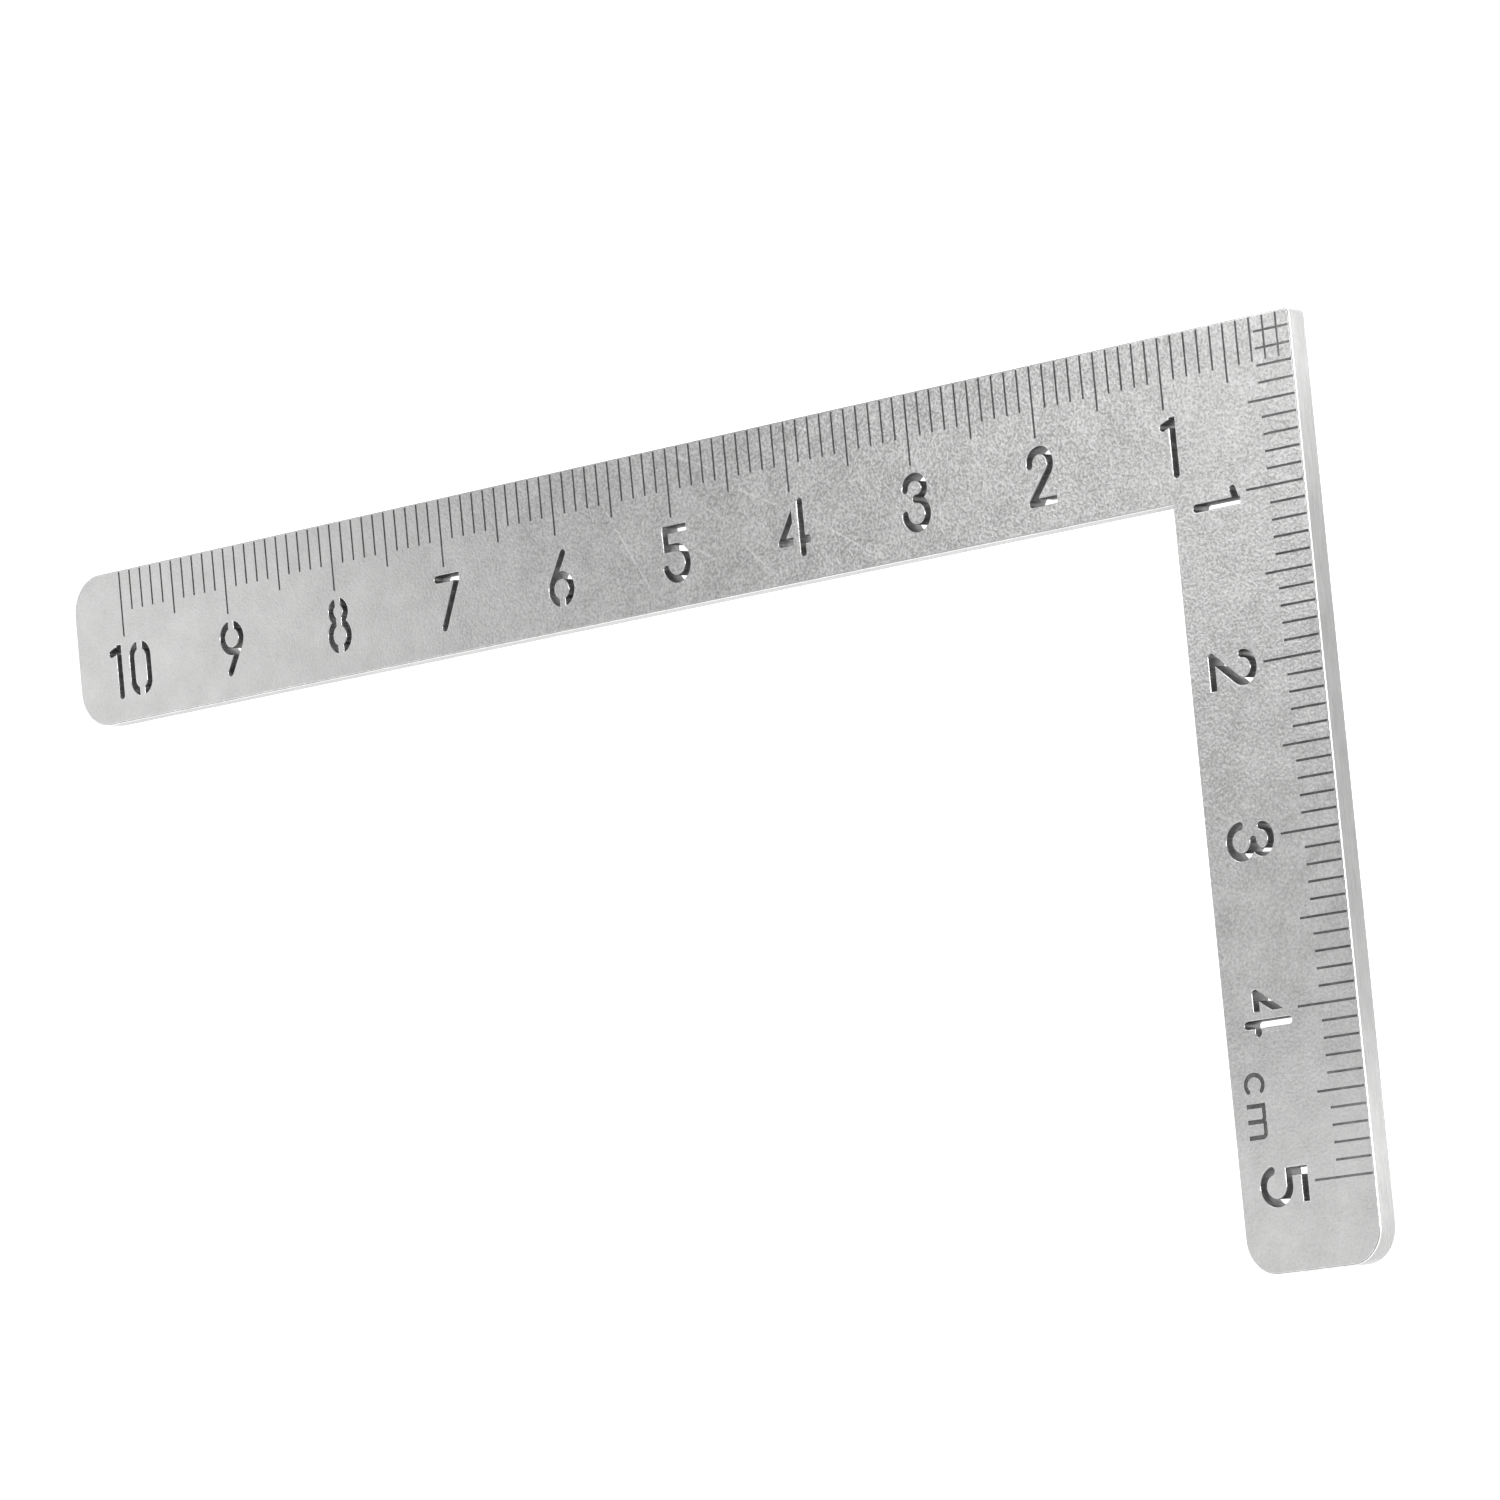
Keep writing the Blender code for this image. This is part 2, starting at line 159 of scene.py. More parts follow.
# Hairline scratches: (place, turn in degrees, length)
HAIRLINE_WIDTH = 0.00022
HAIRLINE_STRENGTH = 0.5
HAIRLINES = (
    ((0.0039, 0.0265), -23, 0.0068),
    ((0.0098, 0.0232), -25, 0.0070),
    ((0.0164, 0.0198), -31, 0.0088),
    ((-0.0018, 0.0221), -59, 0.0125),
    ((0.0093, 0.0195), -42, 0.0052),
    ((0.0059, 0.0229), -32, 0.0042),
    ((0.0048, 0.0206), -32, 0.0054),
    ((0.0141, 0.0267), -23, 0.0036),
)

# Camera
CAMERA_PLACE = (0.34733, -0.04298, 0.36871)
CAMERA_AIM = (0.00711, 0.00805, 0.0015)
CAMERA_ROLL = math.radians(-89.1)
CAMERA_LENS = 198.11
SENSOR_WIDTH = 36
NEAREST_SEEN = 0.01

# Floor and light. A light is (name, place, target, size, watts). The table lamps light the table, which the
# plate's edge mirrors, and the steel doesn't mirror the lamps themselves.
FLOOR_SIZE = 3.0
FLOOR_HEIGHT = -0.0002
FLOOR_GREY = 0.9
FLOOR_GLOW = 0.9
SKY_STRENGTH = 0.54
LIGHTS = (
    ("corner_box", (0.0090, 0.0400, 0.063), (0.0560, 0.0275, 0), 0.03, 0.0078),
    ("foot_box", (0.0020, -0.0280, 0.064), (0.0523, -0.0300, 0), 0.03, 0.0039),
    ("far_box", (-0.1180, 0.0290, 0.069), (-0.0460, 0.0175, 0), 0.05, 0.0090),
    ("side_box", (0.4000, 0.0000, 0.170), (0.0523, 0.0000, 0), 0.15, 0.7500),
    ("corner_lamp", (0.0575, 0.0260, 0.008), (0.0545, 0.0260, 0), 0.006, 0.0014),
    ("foot_lamp", (0.0575, -0.0215, 0.008), (0.0545, -0.0215, 0), 0.008, 0.0014),
)
TABLE_LAMPS = ("corner_lamp", "foot_lamp")


def arc(centre, radius_x, radius_y, start, end):
    """Points from angle start to angle end, in degrees, on an ellipse about centre."""
    steps = max(2, math.ceil(abs(math.radians(end - start)) / ARC_STEP))
    points = []
    for i in range(steps + 1):
        angle = math.radians(start + (end - start) * i / steps)
        x = centre[0] + radius_x * math.cos(angle)
        y = centre[1] + radius_y * math.sin(angle)
        points.append(Vector((x, y)))
    return points


def left_normals(points, closed):
    """A vector to the left of the path at each point, as long as it takes to keep the stroke's width."""
    count = len(points)
    normals = []
    for i in range(count):
        before = points[i - 1] if closed or i > 0 else None
        after = points[(i + 1) % count] if closed or i < count - 1 else None
        sides = []
        if before is not None:
            sides.append((points[i] - before).normalized())
        if after is not None:
            sides.append((after - points[i]).normalized())
        tangent = sum(sides, Vector((0, 0))).normalized()
        normal = Vector((-tangent.y, tangent.x))
        normals.append(normal / max(MITRE_LIMIT, tangent.dot(sides[0])))
    return normals


def stroke_outline(points, width, start, end):
    """The outline of a pen stroke along a path. Its ends are round, flat, or square: half a width on."""
    half = width / 2
    points = [Vector(p) for p in points]
    first_way = (points[0] - points[1]).normalized()
    last_way = (points[-1] - points[-2]).normalized()
    if start == "square":
        points[0] = points[0] + first_way * half
    if end == "square":
        points[-1] = points[-1] + last_way * half
    normals = left_normals(points, closed=False)
    right = [p - n * half for p, n in zip(points, normals)]
    left = [p + n * half for p, n in zip(points, normals)]
    outline = list(right)
    if end == "round":
        turn = math.degrees(math.atan2(last_way.y, last_way.x))
        outline += arc(points[-1], half, half, turn - 90, turn + 90)[1:-1]
    outline += reversed(left)
    if start == "round":
        turn = math.degrees(math.atan2(first_way.y, first_way.x))
        outline += arc(points[0], half, half, turn - 90, turn + 90)[1:-1]
    return outline


def ring_outlines(path, width):
    """The outer and the inner outline of a closed band along a closed anticlockwise path."""
    half = width / 2
    normals = left_normals(path, closed=True)
    return [p - n * half for p, n in zip(path, normals)], [p + n * half for p, n in zip(path, normals)]


def grown(loop, growth):
    """A closed outline, every side moved away from what it encloses on its left."""
    return [p - n * growth for p, n in zip(loop, left_normals(loop, closed=True))]


def inside(points, polygon):
    """Which of the points (an array) lie in a polygon.

    A line to the right of a point inside crosses the sides an odd number of times.
    """
    x, y = points[:, 0], points[:, 1]
    result = np.zeros(len(points), bool)
    for i in range(len(polygon)):
        (x0, y0), (x1, y1) = polygon[i - 1], polygon[i]
        if y0 != y1:
            result ^= ((y0 > y) != (y1 > y)) & (x < x0 + (y - y0) * (x1 - x0) / (y1 - y0))
    return result


def triangulate(loops):
    """Triangles between closed outlines in millimetres, with every side kept.

    Gives the points, the outline points that each of them comes from, the triangles and their middles.
    """
    points = [Vector(p) for loop in loops for p in loop]
    sides, first = [], 0
    for loop in loops:
        count = len(loop)
        sides += [(first + i, first + (i + 1) % count) for i in range(count)]
        first += count
    found, _, triangles, sources, _, _ = delaunay_2d_cdt(points, sides, [], 0, MERGE_MM)
    middles = np.array([[sum(found[i][k] for i in t) / 3 for k in (0, 1)] for t in triangles])
    return found, sources, triangles, middles


def without_short_sides(loop):
    """A closed outline less the points that lie almost on the one before."""
    return [p for i, p in enumerate(loop) if (p - loop[i - 1]).length > SHORTEST_SIDE_MM]


def ready_to_grow(loop, growth):
    """A closed outline less the points so near an inward corner that growing the outline would fold it."""
    count = len(loop)
    dropped = set()
    for i in range(count):
        arriving, leaving = loop[i] - loop[i - 1], loop[(i + 1) % count] - loop[i]
        turn = arriving.angle_signed(leaving)
        if turn < INWARD_CORNER:
            continue
        reach = growth * math.tan(min(turn, SHARPEST_CORNER) / 2) * FOLD_MARGIN
        for step in (1, -1):
            k = (i + step) % count
            while (loop[k] - loop[i]).length < reach:
                dropped.add(k)
                k = (k + step) % count
    return [p for i, p in enumerate(loop) if i not in dropped]


def union_outlines(solids, voids):
    """The outlines of a union of areas less some others, with what is inside on their left.

    A solid is an outer outline followed by the outlines of its holes.
    """
    points, _, triangles, middles = triangulate([p for solid in solids for p in solid] + voids)
    filled = np.zeros(len(triangles), bool)
    for outer, *holes in solids:
        covered = inside(middles, outer)
        for hole in holes:
            covered &= ~inside(middles, hole)
        filled |= covered
    for void in voids:
        filled &= ~inside(middles, void)
    sides = set()
    for triangle, is_filled in zip(triangles, filled):
        if is_filled:
            sides.update((triangle[i - 1], triangle[i]) for i in range(3))
    following = {a: b for a, b in sides if (b, a) not in sides}
    loops = []
    while following:
        first, here = following.popitem()
        loop = [first]
        while here != first:
            loop.append(here)
            here = following.pop(here)
        loops.append(without_short_sides([points[i].copy() for i in loop]))
    return sorted(loops, key=lambda loop: tuple(loop[0]))


def add_prism(bm, outline, low, high):
    """Adds a closed prism over an anticlockwise outline."""
    bottom = [bm.verts.new((p[0], p[1], low)) for p in outline]
    top = [bm.verts.new((p[0], p[1], high)) for p in outline]
    bm.faces.new(list(reversed(bottom)))
    bm.faces.new(top)
    count = len(outline)
    for i in range(count):
        j = (i + 1) % count
        bm.faces.new((bottom[i], bottom[j], top[j], top[i]))


def mesh_from(name, build, *arguments):
    """A new mesh that the function build fills in."""
    bm = bmesh.new()
    build(bm, *arguments)
    mesh = bpy.data.meshes.new(name)
    bm.to_mesh(mesh)
    bm.free()
    return mesh


def stroke_one():
    """A stem with a flag at its head."""
    stem, flag_tip, flag_root = 0.38, (-0.32, 3.06), (0.30, 3.25)
    return [
        ("path", [(stem, FOOT_Y), (stem, HEAD_Y + STROKE / 2)], "round", "flat"),
        ("path", [flag_tip, flag_root], "round", "flat"),
    ]


def stroke_two():
    """A hook, a slanting straight that leaves it without a corner, and a foot."""
    centre_y, radius, last_angle = 2.505, 0.81, -40
    turn = math.radians(last_angle)
    way = Vector((math.sin(turn), -math.cos(turn)))
    leaving = Vector((radius * math.cos(turn), centre_y + radius * math.sin(turn)))
    corner = leaving + way * ((FOOT_Y - leaving.y) / way.y)
    foot_end = (1.10, FOOT_Y)
    return [
        ("path", [*arc((0, centre_y), radius, radius, 180, last_angle), corner], "round", "round"),
        ("path", [corner, foot_end], "flat", "flat"),
    ]


def stroke_three():
    """Two bowls, the lower one wider."""
    waist, upper_radius, lower_radius = 1.995, 0.77, 0.90
    upper = arc((0, (HEAD_Y + waist) / 2), upper_radius, (HEAD_Y - waist) / 2, 180, -90)
    lower = arc((0, (waist + FOOT_Y) / 2), lower_radius, (waist - FOOT_Y) / 2, 90, -180)
    return [("path", upper, "round", "round"), ("path", lower, "round", "round")]


def stroke_four():
    """A tall stem with a short stub, and a wedge that a bridge keeps apart from the stem."""
    stem, stub_end, bar_y = 0.60, 1.08, 1.005
    tip = (-1.17, bar_y)
    wedge_x, wedge_top = 0.08, 2.885
    bridge_left, bridge_right = -0.14, 0.375
    return [
        ("path", [(stem, FOOT_Y), (stem, HEAD_Y)], "round", "round"),
        ("path", [(stem, bar_y), (stub_end, bar_y)], "flat", "round"),
        ("path", [tip, (wedge_x, wedge_top)], "round", "flat"),
        ("path", [tip, (wedge_x, bar_y)], "flat", "flat"),
        ("gap", (bridge_left, BELOW), (bridge_right, ABOVE)),
    ]


def stroke_five():
    """A bar, a short stem and a bowl."""
    left, bar_end, waist, bowl_radius, last_angle = -0.77, 0.80, 2.185, 0.95, -163
    bowl = arc((0, (waist + FOOT_Y) / 2), bowl_radius, (waist - FOOT_Y) / 2, 90, last_angle)
    return [
        ("path", [(left, HEAD_Y), (bar_end, HEAD_Y)], "square", "square"),
        ("path", [(left, waist), (left, HEAD_Y)], "square", "flat"),
        ("path", [(left, waist), *bowl], "flat", "round"),
    ]


def stroke_six():
    """A round bowl and a straight that touches it on the left, with a bridge at the foot."""
    radius = 0.87
    centre_y = FOOT_Y + radius
    lean = math.radians(148.6)
    touch = Vector((radius * math.cos(lean), centre_y + radius * math.sin(lean)))
    way = Vector((math.sin(lean), -math.cos(lean)))
    tip = touch + way * ((HEAD_Y - touch.y) / way.y)
    return [
        ("ring", arc((0, centre_y), radius, radius, 0, RING_END)),
        ("path", [touch, tip], "flat", "round"),
        ("gap", (-BRIDGE / 2, BELOW), (BRIDGE / 2, centre_y)),
    ]


def stroke_seven():
    """A bar and a leg from its right end."""
    left, right, foot_x, leg_top = -0.865, 0.90, -0.49, 3.15
    return [
        ("path", [(left, HEAD_Y), (right, HEAD_Y)], "round", "square"),
        ("path", [(foot_x, FOOT_Y), (right, leg_top)], "round", "round"),
    ]


def stroke_eight():
    """Two rings, the lower one wider, with one bridge down the middle."""
    waist, upper_radius, lower_radius = 2.015, 0.66, 0.83
    return [
        ("ring", arc((0, (HEAD_Y + waist) / 2), upper_radius, (HEAD_Y - waist) / 2, 0, RING_END)),
        ("ring", arc((0, (waist + FOOT_Y) / 2), lower_radius, (waist - FOOT_Y) / 2, 0, RING_END)),
        ("gap", (-BRIDGE / 2, BELOW), (BRIDGE / 2, ABOVE)),
    ]


def stroke_nine():
    """A six turned by half a turn."""
    return [turned(item, NUMERAL_HEIGHT) for item in stroke_six()]


def stroke_zero():
    """Two round ends and two straight sides, with one bridge down the middle."""
    radius = 0.78
    ends = [
        *arc((0, HEAD_Y - radius), radius, radius, 0, 180),
        *arc((0, FOOT_Y + radius), radius, radius, 180, 360),
    ]
    return [("ring", ends), ("gap", (-BRIDGE / 2, BELOW), (BRIDGE / 2, ABOVE))]


def numeral_strokes():
    """Every numeral as its strokes: ("path", points, start, end), ("ring", points) or ("gap", low, high).

    A gap is the x and y range of a bridge, the steel that holds a closed numeral's inside.
    """
    return {
        "0": stroke_zero(),
        "1": stroke_one(),
        "2": stroke_two(),
        "3": stroke_three(),
        "4": stroke_four(),
        "5": stroke_five(),
        "6": stroke_six(),
        "7": stroke_seven(),
        "8": stroke_eight(),
        "9": stroke_nine(),
    }


def turned(item, height):
    """A numeral's stroke, ring or gap turned half a turn about the middle of the numeral."""
    kind = item[0]
    if kind == "gap":
        (x0, y0), (x1, y1) = item[1:]
        return (kind, (-x1, height - y1), (-x0, height - y0))
    points = [Vector((-p[0], height - p[1])) for p in item[1]]
    return (kind, points, *item[2:])


def numeral_outlines(items):
    """The outlines of one numeral's cuts, in millimetres."""
    solids, voids = [], []
    for kind, *values in items:
        if kind == "path":
            points, start, end = values
            solids.append((stroke_outline(points, STROKE, start, end),))
        elif kind == "ring":
            solids.append(ring_outlines(values[0], STROKE))
        else:
            (x0, y0), (x1, y1) = values
            voids.append([Vector(p) for p in ((x0, y0), (x1, y0), (x1, y1), (x0, y1))])
    return [ready_to_grow(loop, RIM_RADIUS / MILLIMETRE) for loop in union_outlines(solids, voids)]


class Ruler:
    """The ruler's outside measures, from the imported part, and the places that follow from them."""

    def __init__(self):
        low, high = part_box("steel_plate")
        self.long_arm = high.x - low.x
        self.short_arm = high.y - low.y
        self.thickness = high.z - low.z
        self.zero_corner = Matrix.Translation((high.x, high.y, low.z))

    def outline(self, inset):
        """The L in metres, anticlockwise from the long arm's free end, its sides moved inwards by inset."""
        corners = [
            ((-self.long_arm, -ARM_WIDTH), LONG_END_RADIUS, 180),
            ((-ARM_WIDTH, -ARM_WIDTH), 0, None),
            ((-ARM_WIDTH, -self.short_arm), SHORT_END_RADIUS, 180),
            ((0, -self.short_arm), SHORT_END_RADIUS, 270),
            ((0, 0), ZERO_CORNER_RADIUS, 0),
            ((-self.long_arm, 0), LONG_END_RADIUS, 90),
        ]
        outline = []
        for (x, y), radius, start in corners:
            if start is None:
                outline.append(Vector((x + inset, y + inset)))
                continue
            across = math.radians(start + 45)
            reach = radius * math.sqrt(2)
            centre = (x - reach * math.cos(across), y - reach * math.sin(across))
            outline += arc(centre, radius - inset, radius - inset, start, start + 90)
        return outline


def on_long_arm(points, along, foot):
    """Upright points in millimetres, put in metres on the long arm: so far along it and from its edge."""
    return [Vector((p[0] * MILLIMETRE - along, p[1] * MILLIMETRE - foot)) for p in points]


def on_short_arm(points, along, foot):
    """The same on the short arm, where the tops of the numerals point to the outer edge."""
    return [Vector((p[1] * MILLIMETRE - foot, -p[0] * MILLIMETRE - along)) for p in points]


def mark_end(number, is_long):
    """How far from the outer edge the mark at this millimetre reaches."""
    if is_long and number == SHORTER_MARK:
        return SHORTER_MARK_END
    if number % MARKS_PER_CM == 0:
        return CM_MARK_END
    return HALF_MARK_END if number % MARKS_PER_HALF_CM == 0 else MM_MARK_END


def mark_outline(number, is_long, shrink=0.0):
    """The rectangle of one mark in metres, every side moved inwards by shrink."""
    half = MARK_WIDTH / 2 - shrink
    start, end = MARK_START + shrink, mark_end(number, is_long) - shrink
    along = -number * MARK_SPACING
    if is_long:
        (x0, x1), (y0, y1) = (along - half, along + half), (-end, -start)
    else:
        (x0, x1), (y0, y1) = (-end, -start), (along - half, along + half)
    return [(x0, y0), (x1, y0), (x1, y1), (x0, y1)]


def fill_marks(bm, numbers, is_long, shrink, low, high):
    """A prism for each of these marks of one arm."""
    for number in numbers:
        add_prism(bm, mark_outline(number, is_long, shrink), low, high)


def letter_outlines():
    """The outlines of c and m, upright, in millimetres, each from the middle of its foot line."""
    half = LETTER_STROKE / 2
    middle = LETTER_C_HEIGHT / 2
    first_angle, last_angle = 50, 310
    letter_c = arc((0, middle), LETTER_C_RADIUS, middle - half, first_angle, last_angle)
    top = LETTER_M_HEIGHT - half
    radius = LETTER_M_ARCH_RADIUS
    letter_m = [[(0, 0), (0, LETTER_M_HEIGHT)]]
    for leg in (1, 2):
        x = leg * LETTER_M_LEG_SPACING
        bend = arc((x - radius, top - radius), radius, radius, 0, 90)
        letter_m.append([(x, 0), *bend, (x - LETTER_M_LEG_SPACING, top)])
    strokes_c = [(stroke_outline(letter_c, LETTER_STROKE, "round", "round"),)]
    strokes_m = [(stroke_outline(path, LETTER_STROKE, "flat", "flat"),) for path in letter_m]
    return union_outlines(strokes_c, []), union_outlines(strokes_m, [])


def cut_outlines():
    """The outlines of all the numerals in metres, 1 to 10 on the long arm and 1 to 5 on the short arm."""
    shapes = {digit: numeral_outlines(items) for digit, items in numeral_strokes().items()}
    cuts = []
    for number in range(1, 10):
        along = number * CENTIMETRE - LONG_NUMERAL_SHIFT
        cuts += [on_long_arm(loop, along, LONG_NUMERAL_FOOT) for loop in shapes[str(number)]]
    for digit, side in (("1", 1), ("0", -1)):
        along = 10 * CENTIMETRE - LONG_NUMERAL_SHIFT + side * TEN_SPACING / 2
        cuts += [on_long_arm(loop, along, LONG_NUMERAL_FOOT) for loop in shapes[digit]]
    for number in range(1, 6):
        along = number * CENTIMETRE - SHORT_NUMERAL_SHIFT
        cuts += [on_short_arm(loop, along, SHORT_NUMERAL_FOOT) for loop in shapes[str(number)]]
    return cuts


def pocket_outlines():
    """The outlines in metres of the pockets of both scales, of the crossing marks and of the letters."""
    pockets = []
    for is_long, count in ((True, LONG_MARKS), (False, SHORT_MARKS)):
        for number in range(CROSSING_MARKS + 1, count + 1):
            pockets.append([Vector(p) for p in mark_outline(number, is_long)])
    crossing = [
        ([Vector(p) / MILLIMETRE for p in mark_outline(number, is_long)],)
        for is_long in (True, False)
        for number in range(1, CROSSING_MARKS + 1)
    ]
    pockets += [[p * MILLIMETRE for p in loop] for loop in union_outlines(crossing, [])]
    letter_c, letter_m = letter_outlines()
    pockets += [on_short_arm(loop, LETTER_C_PLACE, LETTER_C_FOOT) for loop in letter_c]
    pockets += [on_short_arm(loop, LETTER_M_PLACE, LETTER_M_FOOT) for loop in letter_m]
    return pockets


def rounding(radius, steps):
    """A quarter round from a flat face down to a wall, as (distance from the wall, depth) from the face."""
    turns = [math.radians(90) * i / steps for i in range(steps + 1)]
    return [(radius * (1 - math.sin(a)), radius * (1 - math.cos(a))) for a in turns]


def add_wall(bm, sections, material, rim_steps, faces_left=False):
    """A wall through sections (outline, height), lowest first, with brighter steel on its rims."""
    levels = [[bm.verts.new((p[0], p[1], height)) for p in outline] for outline, height in sections]
    count = len(levels[0])
    for k, (lower, upper) in enumerate(zip(levels, levels[1:])):
        is_rim = k < rim_steps or k >= len(levels) - 1 - rim_steps
        for i in range(count):
            j = (i + 1) % count
            corners = (lower[i], lower[j], upper[j], upper[i])
            face = bm.faces.new(reversed(corners) if faces_left else corners)
            face.material_index = RIM if is_rim else material
    return levels[0], levels[-1]


def add_flat(bm, loops, chosen, facing_up, material):
    """Triangles between loops of vertices, where the function chosen says so of their middles."""
    outlines = [[v.co.xy / MILLIMETRE for v in loop] for loop in loops]
    vertices = [v for loop in loops for v in loop]
    _, sources, triangles, middles = triangulate(outlines)
    for triangle, wanted in zip(triangles, chosen(middles)):
        if wanted:
            corners = [vertices[sources[i][0]] for i in triangle]
            face = bm.faces.new(corners if facing_up else reversed(corners))
            face.material_index = material


def fill_plate(bm, ruler):
    """The plate: its outer edge, the walls of the cuts, the pockets, and the flat faces between them."""
    thickness = ruler.thickness
    arris = rounding(ARRIS_RADIUS, ARRIS_STEPS)
    lower = [(ruler.outline(inset), depth) for inset, depth in arris]
    upper = [(ruler.outline(inset), thickness - depth) for inset, depth in reversed(arris)]
    bottom, top = add_wall(bm, lower + upper, EDGE, ARRIS_STEPS)
    bottoms, tops = [bottom], [top]
    rim = rounding(RIM_RADIUS, RIM_STEPS)
    for cut in cut_outlines():
        lower = [(grown(cut, growth), depth) for growth, depth in rim]
        upper = [(grown(cut, growth), thickness - depth) for growth, depth in reversed(rim)]
        bottom, top = add_wall(bm, lower + upper, CUT, RIM_STEPS, faces_left=True)
        bottoms.append(bottom)
        tops.append(top)
    floors, mouths = [], []
    for pocket in pocket_outlines():
        sections = [(pocket, thickness - POCKET_DEPTH), (pocket, thickness)]
        floor, mouth = add_wall(bm, sections, CUT, 0, faces_left=True)
        floors.append(floor)
        mouths.append(mouth)

    def in_loops(middles, loops):
        """Even-odd: in an odd number of the loops."""
        result = np.zeros(len(middles), bool)
        for loop in loops:
            result ^= inside(middles, [v.co.xy / MILLIMETRE for v in loop])
        return result

    add_flat(bm, bottoms, lambda middles: in_loops(middles, bottoms), False, FACE)
    add_flat(bm, tops + mouths, lambda middles: in_loops(middles, tops + mouths), True, FACE)
    add_flat(bm, floors, lambda middles: in_loops(middles, floors), True, CUT)


def keep_faces_flat(mesh, thickness):
    """Shades the plate smooth, with straight normals where a rounding runs out into a flat face."""
    mesh.shade_smooth()
    mesh.set_sharp_from_angle(angle=SHARP_ANGLE)
    normals = [corner.vector.copy() for corner in mesh.corner_normals]
    edge = thickness * AT_FACE
    for polygon in mesh.polygons:
        for corner in polygon.loop_indices:
            height = mesh.vertices[mesh.loops[corner].vertex_index].co.z
            at_face = height > edge or height < thickness - edge
            if at_face and abs(polygon.normal.z) > LEAST_NORMAL_Z:
                normals[corner] = Vector((0, 0, math.copysign(1, polygon.normal.z)))
    mesh.normals_split_custom_set(normals)


def add_object(name, mesh, materials):
    """A piece of the ruler at the frame's origin."""
    for material in materials:
        mesh.materials.append(material)
    obj = bpy.data.objects.new(name, mesh)
    bpy.context.scene.collection.objects.link(obj)
    return obj


def build_plate(ruler, materials):
    """The steel plate with its numerals and pockets cut."""
    mesh = mesh_from("ruler_plate", fill_plate, ruler)
    keep_faces_flat(mesh, ruler.thickness)
    mesh.transform(ruler.zero_corner)
    plate = add_object("ruler_plate", mesh, materials)
    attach(plate, "root")
    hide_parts("steel_plate")


def build_millimetre_fillings(ruler, material):
    """The dark fillings, painted shade of the etched grooves, of the marks that have no node of their own.
    """
    low, high = ruler.thickness - POCKET_DEPTH + FILL_GAP, ruler.thickness - FILL_DROP
    for arm, is_long, count in (("long", True, LONG_MARKS), ("short", False, SHORT_MARKS)):
        numbers = [n for n in range(CROSSING_MARKS + 1, count + 1) if n % MARKS_PER_HALF_CM]
        mesh = mesh_from(f"{arm}_fillings", fill_marks, numbers, is_long, FILL_GAP, low, high)
        mesh.transform(ruler.zero_corner)
        fillings = add_object(f"{arm}_arm_millimetre_fillings", mesh, [material])
        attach(fillings, "root")


